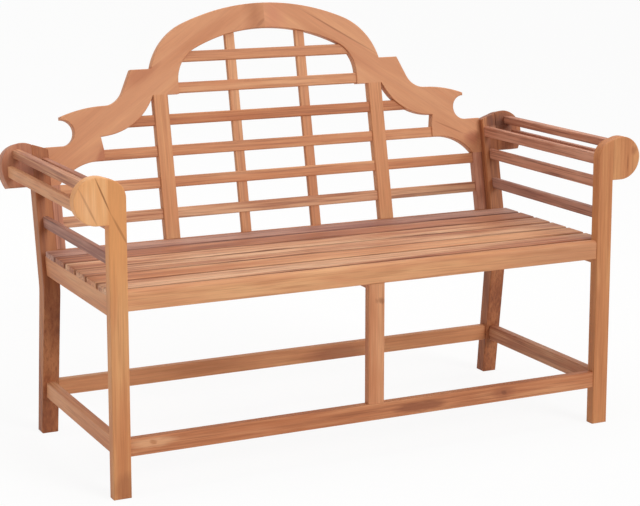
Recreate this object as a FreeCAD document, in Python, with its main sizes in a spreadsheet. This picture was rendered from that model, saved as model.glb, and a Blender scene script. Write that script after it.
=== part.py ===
import FreeCAD, Part
import os
import re
import Sketcher

# Garden bench with an arched back and rolled arms, in millimetres.
# X runs to the viewer's right, the front faces -Y, Z is up. The bench is laid out with Y = 0 on the front
# of the front legs and is then centred. The back is laid out on its own leaning plane: v runs up the
# lean from seat height, n runs backwards through it, and both start at the front of the back legs.

SIZES = {
    # overall
    "seat_width": 1122,        # clear width between the front legs
    "seat_height": 430,        # floor to the top of the seat slats
    "seat_depth": 462,         # front of the front legs to the front of the back legs, at seat height
    "rake": 12,                # lean of the back, in degrees
    # legs
    "leg_width": 38,
    "front_leg_depth": 26,
    "back_leg_depth": 38,      # above the knee, square to the lean
    "foot_depth": 32,          # back leg on the floor
    "foot_kick": 25,           # how far the back foot stands behind the seat depth
    "knee_height": 340,
    "knee_radius": 80,
    # rolled arm heads
    "roll_height": 616,
    "roll_radius": 49,
    "roll_reach": 22,          # centre of the roll beyond the outer face of the leg
    "roll_slope": 18.5,        # fall of the head towards the seat, in degrees
    "roll_corner": 40,         # rounding of a front head towards the seat
    "back_corner": 6,          # the same on a back head
    "back_heel": 36,           # flat underside of a back head beyond the centre of its roll
    # rails and stretchers
    "rail_thick": 20,
    "rail_set": 3,             # front rail and stretcher behind the face of the legs
    "front_rail_height": 42,
    "front_rail_round": 8,
    "side_rail_height": 44,
    "rear_rail_height": 44,
    "rear_rail_drop": 3,       # top of the rear rail below v = 0
    "stretcher_bottom": 86,
    "stretcher_height": 37,
    "post_width": 38,
    # seat
    "slat_count": 6,
    "slat_thick": 14,
    "slat_gap": 10,
    "slat_overhang": 4,        # slat ends beyond the outer faces of the side rails
    "slat_back_gap": 19,       # last slat in front of the back legs
    "slat_ease": 3,
    "bearer_thick": 20,
    # arm slats
    "arm_slat_thick": 14,
    "arm_slat_height": 25,
    "arm_top_width": 20,
    "arm_top_thick": 19,
    "arm_top_shift": 12,       # top slat outside the centre of the roll
    "arm_inner_set": 2,        # inner slat outside the inner face of the leg
    "arm_inner_bottom": 603,
    "arm_top_bottom": 631,
    "arm_outer_set": 13,       # outer slat inside the outermost point of the roll
    "arm_outer_bottom": 590,
    "arm_upper_bottom": 547,
    "arm_lower_bottom": 476,
    # back panel
    "panel_set": 18,           # front of the panel behind the front of the back legs
    "panel_thick": 20,
    "stile_width": 26,
    "upright_width": 36,
    "narrow_width": 24,
    "narrow_set": 6,           # narrow uprights behind the front of the panel
    "narrow_thick": 12,
    "lattice_set": 4,
    "lattice_thick": 12,
    "lattice_height": 25,
    "lattice_start": 43,
    "lattice_pitch": 71.9,
    # crest
    "crown": 534,              # top of the arch, up the lean
    "arch_band": 59.5,
    "arch_top_radius": 540,
    "arch_top_half": 205,
    "arch_half": 296,
    "segment_start": 100,      # joint of the glued outer segment on top of the arch
    "segment_lift": 5,         # height of its foot above the ledge
    "segment_nib": 6,          # blunt ends of the segment
    "foot_overhang": 29,
    "foot_bottom": 329,
    "haunch_bottom": 356,
    "haunch_radius": 85,
    "ledge_height": 390,
    "ledge_width": 49,
    "slope_angle": 65,
    "hump_run": 70,            # top of the wing's hump beyond the ledge
    "hump_height": 311.5,
    "ear_inset": 40,
    "ear_radius": 29.5,
    "ear_tip": 7,
    "wing_top": 226,
    "wing_shoulder": 121,      # start of the wing's lower curve, in from the leg
    "heel_inset": 136,
    "heel_lean": 5,
    "heel_top": 242,
    # joints
    "tenon_thick": 8,
    "tenon_length": 12,
    "tenon_shoulder": 6,
    "thin_tenon": 6,
    "short_tenon": 10,
    "thin_shoulder": 4,
    "fit": 0.1,                # room round a tenon or pin
    "glue_room": 1,            # room at the end of a tenon or pin
    "pin_radius": 2.5,
    "pin_length": 20,
    "pin_inset": 5,            # pin behind the shoulder of the tenon that it holds
    "pin_shift": 6,            # pins of stretchers that meet in one leg, above and below the middle
    "screw_radius": 2,
    "screw_head_radius": 4,
    "screw_head": 3,
    "screw_bite": 8,
    "screw_seat": 20,          # top of the head above the underside of the rail
    "edge_ease": 2.5,
    "crest_ease": 2,
}

doc = FreeCAD.newDocument("garden_bench")
sheet = doc.addObject("Spreadsheet::Sheet", "Sizes")
for row, (name, number) in enumerate(SIZES.items(), start=1):
    sheet.set(f"A{row}", name)
    sheet.set(f"B{row}", str(number))
    sheet.setAlias(f"B{row}", name)
doc.recompute()
nodes = []


def bound(text):
    # A size written by its plain name becomes a reference to its cell.
    return re.sub(r"[a-z_]\w*", lambda word: "Sizes." + word[0] if word[0] in SIZES else word[0], text)


def value(text):
    return float(sheet.evalExpression(bound(text)))


# Places worked out from the sizes above
inner = "(seat_width / 2)"
outer = "(seat_width / 2 + leg_width)"
leg_middle = "(seat_width / 2 + leg_width / 2)"
roll_x = f"({outer} + roll_reach)"
roll_v = "((roll_height - seat_height) / cos(rake))"
panel_back = "(panel_set + panel_thick)"
panel_middle = "(panel_set + panel_thick / 2)"
depth = (f"(seat_depth + crown * sin(rake) + {panel_back} * cos(rake)"
         " - crest_ease * (sin(rake) + cos(rake) - 1))")
slat_bottom = "(seat_height - slat_thick)"
rail_foot = f"({slat_bottom} - side_rail_height)"
rail_back = "(rail_set + rail_thick)"
rail_middle = "(rail_set + rail_thick / 2)"
front_rail_bottom = "(seat_height - front_rail_height)"
front_rail_middle = "(seat_height - front_rail_height / 2)"
side_rail_middle = f"({slat_bottom} - side_rail_height / 2)"
stretcher_top = "(stretcher_bottom + stretcher_height)"
stretcher_middle = "(stretcher_bottom + stretcher_height / 2)"
foot_front = "(seat_depth + foot_kick)"
knee_front = "(seat_depth - (seat_height - knee_height) * tan(rake))"
slat_first = f"({rail_back} + slat_gap)"
slat_width = f"((seat_depth - slat_back_gap - {slat_first} - (slat_count - 1) * slat_gap) / slat_count)"
slat_middle = f"({slat_first} + {slat_width} / 2)"
slat_pitch = f"({slat_width} + slat_gap)"
rear_top = "(-rear_rail_drop)"
rear_middle = f"({rear_top} - rear_rail_height / 2)"
upright_inner = "(arch_half - upright_width)"
foot_inner = "(arch_half - upright_width - foot_overhang)"
stile_inner = f"({inner} - stile_width)"
bay = f"((2 * {upright_inner} - 2 * narrow_width) / 3)"
narrow_near = f"({bay} / 2)"
narrow_far = f"({bay} / 2 + narrow_width)"
lattice_front = "(panel_set + lattice_set)"
narrow_front = "(panel_set + narrow_set)"
lap = f"(({lattice_front} + lattice_thick + {narrow_front}) / 2)"
heel_x = f"({inner} - heel_inset)"
heel_top_x = f"({heel_x} + heel_lean)"

# Inside of the arch: two haunch arcs tangent to the feet and to one broad arc over the top
crown_inner = "(crown - arch_band)"
haunch_x = f"({foot_inner} - haunch_radius)"
arch_rise = f"({crown_inner} - haunch_bottom)"
inner_radius = f"(({haunch_x}^2 + {arch_rise}^2 - haunch_radius^2) / (2 * ({arch_rise} - haunch_radius)))"
inner_share = f"({inner_radius} / ({inner_radius} - haunch_radius))"
inner_turn_x = f"({haunch_x} * {inner_share})"
inner_turn_v = f"({crown_inner} - {inner_radius} + ({inner_radius} - {arch_rise}) * {inner_share})"

# Outside of the arch: a broad top arc, then a haunch that leaves it smoothly and ends on the ledge
outer_turn_v = "(crown - arch_top_radius + sqrt(arch_top_radius^2 - arch_top_half^2))"
haunch_run = "(arch_half - arch_top_half)"
haunch_fall = f"({outer_turn_v} - ledge_height)"
haunch_turn = f"(atan({haunch_fall} / {haunch_run}) - asin(arch_top_half / arch_top_radius))"
outer_haunch = f"(sqrt({haunch_run}^2 + {haunch_fall}^2) / (2 * sin({haunch_turn})))"

# The joint of the outer segment: a straight line under the top of the arch, with a short step at each end
segment_v = "(crown - arch_top_radius + sqrt(arch_top_radius^2 - segment_start^2))"
segment_foot = "(ledge_height + segment_lift)"
above = "(crown + arch_band)"
segment_joint = [
    ("segment_start", above),
    ("segment_start", f"{segment_v} - segment_nib"),
    ("arch_half - segment_nib", segment_foot),
]


def level_arc(run, rise):
    # Radius of an arc that starts level and has moved by run and rise at its end
    return f"((({run})^2 + ({rise})^2) / (2 * ({rise})))"


# Outline of the wing: a slope down from the ledge, a hollow, a hump that is level at its top, the ear
ledge_x = "(arch_half + ledge_width)"
hump_x = f"({ledge_x} + hump_run)"
slope_base = f"({ledge_x} + (ledge_height - hump_height) / tan(slope_angle))"
slope_reach = f"({hump_x} - {slope_base})"
ear_x = f"({inner} - ear_inset)"
ear_top = "(wing_top + 2 * ear_radius + ear_tip)"
hump_radius = level_arc(f"{ear_x} - {hump_x}", f"hump_height - {ear_top}")
under_radius = level_arc(f"{heel_top_x} - arch_half", "foot_bottom - heel_top")


def head_top(x, centre):
    # Height of the sloping top of an arm head at x, for a roll centred at the given height
    return f"({centre} + ({x} - {roll_x}) * tan(roll_slope) + roll_radius / cos(roll_slope))"


def back_front(z):
    # Front of the back leg above the knee, at height z
    return f"(seat_depth + ({z} - seat_height) * tan(rake))"


def foot_line(z):
    # Front of the back leg below the knee, at height z
    return f"({foot_front} - ({z}) * ({foot_front} - {knee_front}) / knee_height)"


def raked(v, n):
    # A place on the leaning plane, as Y and Z
    return (f"(seat_depth + ({v}) * sin(rake) + ({n}) * cos(rake))",
            f"(seat_height + ({v}) * cos(rake) - ({n}) * sin(rake))")


def lattice_bottom(level):
    return f"(lattice_start + {level} * lattice_pitch)"


def lattice_top(level):
    return f"({lattice_bottom(level)} + lattice_height)"


wing_bottom = lattice_top(1)


def arch_height(x):
    # Underside of the broad arc over the arch
    return f"({crown_inner} - {inner_radius} + sqrt({inner_radius}^2 - {x}^2))"


def haunch_reach(v):
    # Inside of the arch at height v, on the haunch
    return f"({haunch_x} + sqrt(haunch_radius^2 - ({v} - haunch_bottom)^2))"


def under_reach(v):
    # Curve under the wing at height v
    return f"({heel_top_x} - sqrt({under_radius}^2 - (heel_top + {under_radius} - {v})^2))"


def stretch(near, far):
    # Start and length
    return near, f"(({far}) - ({near}))"


def block(x0, x1, y0, y1):
    return [(x0, y0), (x1, y0), (x1, y1), (x0, y1)]


def roomy(x0, x1, y0, y1):
    # The same block with the room that a mortise leaves round its tenon
    return block(f"{x0} - fit", f"{x1} + fit", f"{y0} - fit", f"{y1} + fit")


def leaning_block(v0, v1, n0, n1):
    return [raked(f"{v0} - fit", f"{n0} - fit"), raked(f"{v1} + fit", f"{n0} - fit"),
            raked(f"{v1} + fit", f"{n1} + fit"), raked(f"{v0} - fit", f"{n1} + fit")]


def place(x, y, z, turn="0", axis="1; 0; 0"):
    return (f"create(<<placement>>; create(<<vector>>; {x}; {y}; {z}); "
            f"create(<<rotation>>; create(<<vector>>; {axis}); {turn}))")


def new_body(label, leaning=False):
    body = doc.addObject("PartDesign::Body", label)
    body.Label = label
    if leaning:
        stand = place("0", f"seat_depth - {depth} / 2", "seat_height", "-rake")
    else:
        stand = place("0", f"-{depth} / 2", "0")
    body.setExpression("Placement", bound(stand))
    nodes.append(body)
    return body


def origin_part(body, role):
    return next(part for part in body.Origin.OriginFeatures if part.Role == role)


def arc_between(here, there, radius, turn):
    # Arc of at most a half circle; turn is 1 where it bends to the left of the way from here to there
    chord = there - here
    left = FreeCAD.Vector(-chord.y, chord.x, 0).normalize()
    centre = (here + there) * 0.5 + left * (turn * (radius ** 2 - (chord.Length / 2) ** 2) ** 0.5)
    start, end = (here, there) if turn > 0 else (there, here)
    circle = Part.Circle(centre, FreeCAD.Vector(0, 0, 1), radius)
    return Part.ArcOfCircle(circle, circle.parameter(start), circle.parameter(end))


def pin_down(sketch, kind, first, second, text):
    index = sketch.addConstraint(Sketcher.Constraint(kind, *first, *second, value(text)))
    sketch.setExpression(f"Constraints[{index}]", bound(text))


def draw(sketch, corners):
    # A closed outline. A corner is (x, y), or (x, y, radius, turn) where an arc leads on to the next corner.
    points = [FreeCAD.Vector(value(corner[0]), value(corner[1]), 0) for corner in corners]
    ends = []
    for index, corner in enumerate(corners):
        here = points[index]
        there = points[(index + 1) % len(points)]
        if len(corner) == 2:
            edge = sketch.addGeometry(Part.LineSegment(here, there), False)
            ends.append(((edge, 1), (edge, 2)))
        else:
            edge = sketch.addGeometry(arc_between(here, there, value(corner[2]), corner[3]), False)
            ends.append(((edge, 1), (edge, 2)) if corner[3] > 0 else ((edge, 2), (edge, 1)))
            pin_down(sketch, "Radius", (edge,), (), corner[2])
    for index, corner in enumerate(corners):
        sketch.addConstraint(Sketcher.Constraint("Coincident", *ends[index - 1][1], *ends[index][0]))
        pin_down(sketch, "DistanceX", (-1, 1), ends[index][0], corner[0])
        pin_down(sketch, "DistanceY", (-1, 1), ends[index][0], corner[1])


def draw_circle(sketch, x, y, radius):
    centre = FreeCAD.Vector(value(x), value(y), 0)
    edge = sketch.addGeometry(Part.Circle(centre, FreeCAD.Vector(0, 0, 1), value(radius)), False)
    pin_down(sketch, "Radius", (edge,), (), radius)
    pin_down(sketch, "DistanceX", (-1, 1), (edge, 3), x)
    pin_down(sketch, "DistanceY", (-1, 1), (edge, 3), y)


def new_sketch(body, plane, start, frame):
    # Flat sketches lie on the body's own planes. In an upright body a leaning sketch lies on the plane of
    # the back; in a leaning body a level sketch stands upright, with its start counted from the seat depth.
    sketch = body.newObject("Sketcher::SketchObject", "Outline")
    sketch.AttachmentSupport = [(origin_part(body, plane), "")]
    sketch.MapMode = "FlatFace"
    if frame == "leaning":
        lie = place("0", f"seat_height - ({start}) * sin(rake)",
                    f"-(seat_depth + ({start}) * cos(rake))", "-rake")
    elif frame == "level":
        lie = place("0", f"({start}) * sin(rake)", f"-({start}) * cos(rake)", "rake")
    else:
        lie = place("0", "0", f"-({start})" if plane == "XZ_Plane" else start)
    sketch.setExpression("AttachmentOffset", bound(lie))
    return sketch


def pad(body, plane, start, length, corners, frame="flat"):
    sketch = new_sketch(body, plane, start, frame)
    draw(sketch, corners)
    feature = body.newObject("PartDesign::Pad", "Board")
    feature.Profile = sketch
    feature.setExpression("Length", bound(length))
    feature.Reversed = plane == "XZ_Plane"
    body.Tip = feature


def cut(body, plane, start, length, outlines=(), circles=(), frame="flat"):
    doc.recompute()
    before = body.Tip.Shape.Volume
    sketch = new_sketch(body, plane, start, frame)
    for corners in outlines:
        draw(sketch, corners)
    for x, y, radius in circles:
        draw_circle(sketch, x, y, radius)
    feature = body.newObject("PartDesign::Pocket", "Cut")
    feature.Profile = sketch
    feature.setExpression("Length", bound(length))
    feature.Reversed = plane != "XZ_Plane"
    body.Tip = feature
    doc.recompute()
    if not feature.Shape.Volume < before - 1:
        raise RuntimeError(f"{body.Label}: a cut took nothing away")
    return feature


def ease(body, wanted, radius="edge_ease"):
    doc.recompute()
    base = body.Tip
    edges = [f"Edge{number}" for number, edge in enumerate(base.Shape.Edges, start=1) if wanted(edge)]
    feature = body.newObject("PartDesign::Fillet", "Ease")
    feature.Base = (base, edges)
    feature.setExpression("Radius", bound(radius))
    feature.Refine = False
    body.Tip = feature


def repeat(body, feature, axis, count, length):
    pattern = body.newObject("PartDesign::LinearPattern", "Row")
    pattern.Originals = [feature]
    pattern.Direction = (origin_part(body, axis), [""])
    pattern.setExpression("Length", bound(length))
    pattern.setExpression("Occurrences", bound(count))
    body.Tip = pattern


def runs_along(axis):
    def wanted(edge):
        straight = edge.Curve.TypeId == "Part::GeomLine"
        return straight and abs(edge.tangentAt(edge.FirstParameter).dot(axis)) > 0.999
    return wanted


def lies_at(edge, axis, text):
    # True for an edge that lies wholly within the plane at one place on an axis
    low, high = {"X": (edge.BoundBox.XMin, edge.BoundBox.XMax), "Y": (edge.BoundBox.YMin, edge.BoundBox.YMax),
                 "Z": (edge.BoundBox.ZMin, edge.BoundBox.ZMax)}[axis]
    return abs(low - value(text)) < 0.01 and abs(high - value(text)) < 0.01


along_x = runs_along(FreeCAD.Vector(1, 0, 0))
along_y = runs_along(FreeCAD.Vector(0, 1, 0))
along_z = runs_along(FreeCAD.Vector(0, 0, 1))


# Sections of the slats between front and back of an arm: near X, far X, bottom and top
arm_sections = {
    "inner": (f"({inner} + arm_inner_set)", f"({inner} + arm_inner_set + arm_slat_thick)",
              "arm_inner_bottom", "(arm_inner_bottom + arm_slat_height)"),
    "top": (f"({roll_x} + arm_top_shift - arm_top_width / 2)", f"({roll_x} + arm_top_shift + arm_top_width / 2)",
            "arm_top_bottom", "(arm_top_bottom + arm_top_thick)"),
    "outer": (f"({roll_x} + roll_radius - arm_outer_set - arm_slat_thick)",
              f"({roll_x} + roll_radius - arm_outer_set)",
              "arm_outer_bottom", "(arm_outer_bottom + arm_slat_height)"),
    "upper": (f"({leg_middle} - arm_slat_thick / 2)", f"({leg_middle} + arm_slat_thick / 2)",
              "arm_upper_bottom", "(arm_upper_bottom + arm_slat_height)"),
    "lower": (f"({leg_middle} - arm_slat_thick / 2)", f"({leg_middle} + arm_slat_thick / 2)",
              "arm_lower_bottom", "(arm_lower_bottom + arm_slat_height)"),
}
in_the_leg = ("inner", "upper", "lower")
in_the_roll = ("top", "outer")


def arm_tenon(which):
    near, far, bottom, top = arm_sections[which]
    return (f"({near} + thin_shoulder)", f"({far} - thin_shoulder)",
            f"({bottom} + thin_shoulder)", f"({top} - thin_shoulder)")


# Sections of the side rail and side stretcher, and of their tenons: near X, far X, bottom, top
side_sections = {
    "rail": (f"({leg_middle} - rail_thick / 2)", f"({leg_middle} + rail_thick / 2)", rail_foot, slat_bottom),
    "stretcher": (f"({leg_middle} - rail_thick / 2)", f"({leg_middle} + rail_thick / 2)",
                  "stretcher_bottom", stretcher_top),
}
side_tenons = {
    which: (f"({leg_middle} - tenon_thick / 2)", f"({leg_middle} + tenon_thick / 2)",
            f"({section[2]} + tenon_shoulder)", f"({section[3]} - tenon_shoulder)")
    for which, section in side_sections.items()
}

# Tenons of the rails that run across: Y or n range, then height range
tenon_half = "tenon_thick / 2"
front_rail_tenon = (f"({rail_middle} - {tenon_half})", f"({rail_middle} + {tenon_half})",
                    f"({front_rail_bottom} + tenon_shoulder)",
                    "(seat_height - front_rail_round - tenon_shoulder)")
front_stretcher_tenon = (f"({rail_middle} - {tenon_half})", f"({rail_middle} + {tenon_half})",
                         "(stretcher_bottom + tenon_shoulder)", f"({stretcher_top} - tenon_shoulder)")
rear_stretcher_y = f"({foot_line(stretcher_middle)} + foot_depth / 2)"
rear_stretcher_tenon = (f"({rear_stretcher_y} - {tenon_half})", f"({rear_stretcher_y} + {tenon_half})",
                        "(stretcher_bottom + tenon_shoulder)", f"({stretcher_top} - tenon_shoulder)")
rear_rail_tenon = (f"({panel_middle} - {tenon_half})", f"({panel_middle} + {tenon_half})",
                   f"({rear_top} - rear_rail_height + tenon_shoulder)", f"({rear_top} - tenon_shoulder)")
wing_tenon = (f"({panel_middle} - {tenon_half})", f"({panel_middle} + {tenon_half})",
              f"({wing_bottom} + 2 * tenon_shoulder)", "(wing_top - 3 * tenon_shoulder)")
wing_middle = f"(({wing_tenon[2]} + {wing_tenon[3]}) / 2)"
bearer_tenon = ("(-bearer_thick / 2 + tenon_shoulder)", "(bearer_thick / 2 - tenon_shoulder)",
                f"({front_rail_bottom} + 2 * thin_shoulder)", f"({slat_bottom} - tenon_shoulder)")
deep = "(tenon_length + glue_room)"
short_deep = "(short_tenon + glue_room)"
pin_hole = "pin_radius + fit"
pin_x = f"({inner} + tenon_length / 2)"
high_pin = f"({stretcher_middle} + pin_shift)"
low_pin = f"({stretcher_middle} - pin_shift)"


def front_board(body):
    # Front leg and its roll as they are shaped together, with eased faces
    corner = "(roll_corner * tan(45 - roll_slope / 2))"
    top = head_top(inner, "roll_height")
    bottom = "roll_height - roll_radius"
    outline = [
        (inner, "0"),
        (outer, "0"),
        (outer, bottom),
        (roll_x, bottom, "roll_radius", 1),
        (f"{roll_x} + roll_radius", "roll_height", "roll_radius", 1),
        (f"{roll_x} - roll_radius * sin(roll_slope)", "roll_height + roll_radius * cos(roll_slope)"),
        (f"{inner} + {corner} * cos(roll_slope)", f"{top} + {corner} * sin(roll_slope)", "roll_corner", 1),
        (inner, f"{top} - {corner}"),
    ]
    pad(body, "XZ_Plane", "0", "front_leg_depth", outline)
    ease(body, lambda edge: edge.BoundBox.YLength < 0.01)


def front_mortises(body, sections):
    cut(body, "XZ_Plane", f"front_leg_depth - {deep}", f"{deep} + 1",
        [roomy(*section) for section in sections])


def front_leg():
    body = new_body("front_leg_right")
    front_board(body)
    waste = block(outer, f"{roll_x} + roll_radius + 1",
                  "roll_height - roll_radius - 1", "roll_height + roll_radius + 1")
    cut(body, "XZ_Plane", "-1", "front_leg_depth + 2", [waste])
    front_mortises(body, list(side_tenons.values()) + [arm_tenon(which) for which in in_the_leg])
    start, length = stretch(f"{inner} - 1", f"{inner} + {deep}")
    cut(body, "YZ_Plane", start, length, [roomy(*front_rail_tenon), roomy(*front_stretcher_tenon)])
    cut(body, "XZ_Plane", "front_leg_depth - pin_length - 2 * glue_room", "pin_length + 3 * glue_room",
        circles=[(pin_x, z, pin_hole) for z in (front_rail_middle, high_pin)])
    start, length = stretch(f"{inner} - 1", f"{inner} + pin_length + pin_inset")
    cut(body, "YZ_Plane", start, length,
        circles=[("front_leg_depth - pin_inset", z, pin_hole) for z in (side_rail_middle, low_pin)])


def front_roll():
    body = new_body("front_roll_right")
    front_board(body)
    waste = block(f"{inner} - 1", outer, "-1", "roll_height + roll_radius + 1")
    cut(body, "XZ_Plane", "-1", "front_leg_depth + 2", [waste])
    front_mortises(body, [arm_tenon(which) for which in in_the_roll])


def back_mortise(body, section, face):
    # A level mortise in a slanting face
    middle = f"({section[2]} + {section[3]}) / 2"
    cut(body, "XZ_Plane", f"{face(middle)} - leg_width", f"leg_width + {deep}", [roomy(*section)])


def back_leg():
    body = new_body("back_leg_right")
    tall = f"({head_top(outer, roll_v)} + leg_width)"
    outline = [
        (foot_front, "0"),
        (f"{foot_front} + foot_depth", "0"),
        (f"{knee_front} + back_leg_depth / cos(rake)", "knee_height"),
        raked(tall, "back_leg_depth"),
        raked(tall, "0"),
        (knee_front, "knee_height"),
    ]
    start, length = stretch(inner, outer)
    pad(body, "YZ_Plane", start, length, outline)
    ease(body, lambda edge: along_x(edge) and lies_at(edge, "Z", "knee_height"), "knee_radius")
    corner = "(back_corner * tan(45 - roll_slope / 2))"
    top = head_top(inner, roll_v)
    waste = [
        (f"{inner} - leg_width", f"{top} - {corner}"),
        (inner, f"{top} - {corner}", "back_corner", -1),
        (f"{inner} + {corner} * cos(roll_slope)", f"{top} + {corner} * sin(roll_slope)"),
        (f"{outer} + leg_width", head_top(f"({outer} + leg_width)", roll_v)),
        (f"{outer} + leg_width", f"{tall} + leg_width"),
        (f"{inner} - leg_width", f"{tall} + leg_width"),
    ]
    cut(body, "XZ_Plane", "-leg_width", "back_leg_depth + 2 * leg_width", [waste], frame="leaning")
    ease(body, lambda edge: edge.BoundBox.XLength < 0.01)
    for section in [side_tenons["rail"]] + [arm_tenon(which) for which in in_the_leg]:
        back_mortise(body, section, back_front)
    back_mortise(body, side_tenons["stretcher"], foot_line)
    start, length = stretch(f"{inner} - 1", f"{inner} + {deep}")
    leaning_tenons = [tenon[2:] + tenon[:2] for tenon in (rear_rail_tenon, wing_tenon)]
    cut(body, "YZ_Plane", start, length,
        [roomy(*rear_stretcher_tenon)] + [leaning_block(*tenon) for tenon in leaning_tenons])
    start, length = stretch(f"{inner} - 1", f"{inner} + pin_length + pin_inset")
    cut(body, "YZ_Plane", start, length, circles=[
        (f"{back_front(side_rail_middle)} + pin_inset", side_rail_middle, pin_hole),
        (f"{foot_line(low_pin)} + pin_inset", low_pin, pin_hole)])
    cut(body, "XZ_Plane", f"{rear_stretcher_y} - pin_shift - glue_room", "back_leg_depth + glue_room",
        circles=[(pin_x, high_pin, pin_hole)])
    cut(body, "XZ_Plane", f"{panel_back} - pin_length - 2 * glue_room", "pin_length + 3 * glue_room",
        circles=[(pin_x, v, pin_hole) for v in (rear_middle, wing_middle)], frame="leaning")


def back_roll():
    body = new_body("back_roll_right")
    bottom = f"{roll_v} - roll_radius"
    # the flank stands upright at the middle of the roll and meets the flat underside at a corner
    flank = level_arc("roll_radius", "roll_radius - back_heel")
    outline = [
        (outer, bottom),
        (f"{roll_x} + back_heel", bottom, flank, 1),
        (f"{roll_x} + roll_radius", roll_v, "roll_radius", 1),
        (f"{roll_x} - roll_radius * sin(roll_slope)", f"{roll_v} + roll_radius * cos(roll_slope)"),
        (outer, head_top(outer, roll_v)),
    ]
    pad(body, "XZ_Plane", "0", "back_leg_depth", outline, frame="leaning")
    # the rim is eased, the face that is glued to the leg stays square
    ease(body, lambda edge: edge.BoundBox.XLength > 0.01)
    for which in in_the_roll:
        back_mortise(body, arm_tenon(which), back_front)


def rail_across(label, front, bottom, top):
    # A rail from leg to leg
    body = new_body(label)
    pad(body, "YZ_Plane", f"-{inner}", f"2 * {inner}", block(front, f"{front} + rail_thick", bottom, top))
    return body


def tenons_across(body, tenon):
    reach = f"({inner} + tenon_length)"
    pad(body, "YZ_Plane", f"-{reach}", f"2 * {reach}", block(*tenon))


def pin_holes(body, height, front):
    cut(body, "XZ_Plane", f"{front} - 1", "rail_thick + 2",
        circles=[(x, height, pin_hole) for x in (pin_x, f"-{pin_x}")])


def post_mortise(body, start):
    cut(body, "XY_Plane", start, f"{deep} + 1", [roomy(
        "-post_width / 2 + tenon_shoulder", "post_width / 2 - tenon_shoulder",
        f"{rail_middle} - {tenon_half}", f"{rail_middle} + {tenon_half}")])


def front_rail():
    body = rail_across("front_rail", "rail_set", front_rail_bottom, "seat_height")
    ease(body, lambda edge: lies_at(edge, "Z", "seat_height") and lies_at(edge, "Y", "rail_set"),
         "front_rail_round")
    ease(body, lambda edge: along_x(edge) and (
        lies_at(edge, "Z", front_rail_bottom) or lies_at(edge, "Y", rail_back)))
    tenons_across(body, front_rail_tenon)
    pin_holes(body, front_rail_middle, "rail_set")
    post_mortise(body, f"{front_rail_bottom} - 1")
    cut(body, "XZ_Plane", f"{rail_back} - short_tenon / 2 - glue_room", short_deep, [roomy(*bearer_tenon)])


def front_stretcher():
    body = rail_across("front_stretcher", "rail_set", "stretcher_bottom", stretcher_top)
    ease(body, along_x)
    tenons_across(body, front_stretcher_tenon)
    pin_holes(body, high_pin, "rail_set")
    post_mortise(body, f"{stretcher_top} - {deep}")


def rear_stretcher():
    front = f"({rear_stretcher_y} - rail_thick / 2)"
    body = rail_across("rear_stretcher", front, "stretcher_bottom", stretcher_top)
    ease(body, along_x)
    tenons_across(body, rear_stretcher_tenon)
    pin_holes(body, high_pin, front)


def rear_rail():
    body = new_body("rear_rail", leaning=True)
    pad(body, "YZ_Plane", f"-{inner}", f"2 * {inner}",
        block("panel_set", panel_back, f"{rear_top} - rear_rail_height", rear_top))
    ease(body, along_x)
    tenons_across(body, rear_rail_tenon)
    right = [(upright_inner, "arch_half"), (narrow_near, narrow_far), (stile_inner, inner)]
    left = [(f"(-{far})", f"(-{near})") for near, far in right]
    cut(body, "XY_Plane", f"{rear_top} - {deep}", f"{deep} + 1",
        [roomy(*post_tenon(near, far)) for near, far in right + left])
    pin_holes(body, rear_middle, "panel_set")
    near, far, bottom, top = bearer_tenon
    cut(body, "XZ_Plane", f"{bearer_end(bearer_middle)} - seat_depth - rail_thick",
        f"rail_thick + {short_deep}",
        [roomy(near, far, f"{bottom} - seat_height", f"{top} - seat_height")], frame="level")


def front_centre_post():
    body = new_body("front_centre_post")
    half = "post_width / 2"
    tall = f"({front_rail_bottom} - {stretcher_top})"
    pad(body, "XY_Plane", stretcher_top, tall, block(f"-{half}", half, "rail_set", rail_back))
    ease(body, along_z)
    pad(body, "XY_Plane", f"{stretcher_top} - tenon_length", f"{tall} + 2 * tenon_length",
        block(f"-{half} + tenon_shoulder", f"{half} - tenon_shoulder",
              f"{rail_middle} - {tenon_half}", f"{rail_middle} + {tenon_half}"))


def side_piece(label, section, tenon, face, radius="edge_ease"):
    # A piece from the back of a front leg to the slanting front of a back leg, with a tenon at each end
    near, far, bottom, top = section
    body = new_body(label)
    start, length = stretch(near, far)
    pad(body, "YZ_Plane", start, length, [
        ("front_leg_depth", bottom), (face(bottom), bottom), (face(top), top), ("front_leg_depth", top)])
    ease(body, along_y, radius)
    near, far, bottom, top = tenon
    start, length = stretch(near, far)
    end = f"{face(f'({bottom} + {top}) / 2')} + tenon_length"
    pad(body, "YZ_Plane", start, length, block("front_leg_depth - tenon_length", end, bottom, top))
    return body


def side_pin_holes(body, height, face):
    start, length = stretch(inner, outer)
    cut(body, "YZ_Plane", start, length, circles=[
        ("front_leg_depth - pin_inset", height, pin_hole), (f"{face(height)} + pin_inset", height, pin_hole)])


def side_rail():
    body = side_piece("side_rail_right", side_sections["rail"], side_tenons["rail"], back_front)
    side_pin_holes(body, side_rail_middle, back_front)
    slat_screw_holes(body, leg_middle)


def side_stretcher():
    body = side_piece("side_stretcher_right", side_sections["stretcher"], side_tenons["stretcher"], foot_line)
    side_pin_holes(body, low_pin, foot_line)


def arm_slat(which):
    side_piece(f"arm_{which}_slat_right", arm_sections[which], arm_tenon(which), back_front, "slat_ease")


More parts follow.
